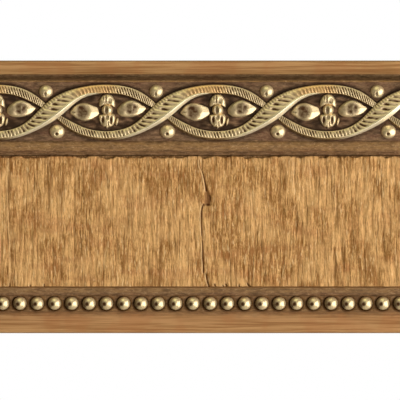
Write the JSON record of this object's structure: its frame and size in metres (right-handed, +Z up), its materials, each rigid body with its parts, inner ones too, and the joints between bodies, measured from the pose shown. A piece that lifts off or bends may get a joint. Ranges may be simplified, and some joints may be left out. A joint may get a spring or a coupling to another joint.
{
  "type": "decorative moulding",
  "caption": "Length of wall moulding with an interlaced ribbon and flowers above a flat cross-grained panel and a bead row, cut square, with a flat back.",
  "frame": {"origin": "middle of the flat back, which lies against the wall", "axes": "+X runs along the moulding, +Y out of the back into the wall, +Z up the wall with the ribbon band at the top"},
  "size_m": [0.142, 0.02, 0.096],
  "materials": {
    "wood_finish": "foil and paint in the look of oak, satin",
    "dark_patina": "dark brown paint rubbed thin on the edges, satin",
    "antique_gold": "antique gold paint, dark in the hollows, glossy"
  },
  "bodies": {
    "root": {"moulding": "wood_finish"}
  },
  "joints": []
}
